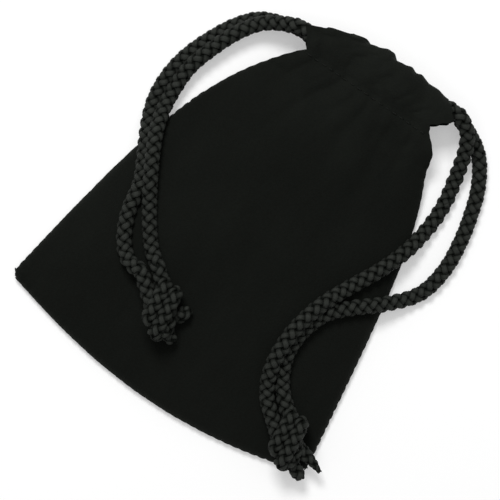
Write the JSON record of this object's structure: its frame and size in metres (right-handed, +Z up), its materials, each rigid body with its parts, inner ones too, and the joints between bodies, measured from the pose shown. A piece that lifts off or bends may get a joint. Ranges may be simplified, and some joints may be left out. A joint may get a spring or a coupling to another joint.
{
  "type": "drawstring dice bag",
  "caption": "Small black velveteen drawstring bag lying flat, with a gathered neck, sewn casings and paired braided cords that end in overhand knots.",
  "frame": {"origin": "on the surface the bag lies on, under the middle of the bag without its free cords", "axes": "+X across the bag to its right, +Y along it toward the mouth, +Z up from the back panel to the front"},
  "size_m": [0.1061, 0.1229, 0.0217],
  "materials": {
    "velveteen": "matte black pile",
    "braided_cord": "soft black braid",
    "thread": "black sewing thread"
  },
  "bodies": {
    "bag": {"back_panel": "velveteen", "front_panel": "velveteen", "back_casing": "velveteen", "left_side_seam": "velveteen", "right_side_seam": "velveteen", "bottom_seam": "velveteen", "seam_stitching": "thread", "back_casing_stitching": "thread", "left_cord_loop": "braided_cord", "right_cord_loop": "braided_cord", "left_front_strand": "braided_cord", "left_back_strand": "braided_cord", "right_front_strand": "braided_cord", "right_back_strand": "braided_cord"},
    "front_lip": {"front_neck": "velveteen", "front_casing": "velveteen", "front_casing_stitching": "thread"},
    "left_pull": {"left_knot": "braided_cord", "left_upper_tail": "braided_cord", "left_lower_tail": "braided_cord"},
    "right_pull": {"right_knot": "braided_cord", "right_upper_tail": "braided_cord", "right_lower_tail": "braided_cord"}
  },
  "joints": [
    {"name": "mouth_open", "type": "hinge", "parent": "bag", "child": "front_lip", "pos_m": [0, 0.02336, 0.01343], "axis": [1, 0, 0], "range_deg": [0, 60], "deforming": ["left_cord_loop", "right_cord_loop"]},
    {"name": "left_cord_draw", "type": "slide", "parent": "bag", "child": "left_pull", "axis": [-0.6573, 0.747, 0.0998], "range_m": [0, 0.016], "deforming": ["left_front_strand", "left_back_strand"]},
    {"name": "right_cord_draw", "type": "slide", "parent": "bag", "child": "right_pull", "axis": [-0.5383, 0.8173, 0.2054], "range_m": [0, 0.016], "deforming": ["right_front_strand", "right_back_strand"]}
  ],
  "couplings": [
    {"joint": "left_cord_draw", "follows": "mouth_open", "m_per_rad": 0.01527},
    {"joint": "right_cord_draw", "follows": "mouth_open", "m_per_rad": 0.01527}
  ]
}
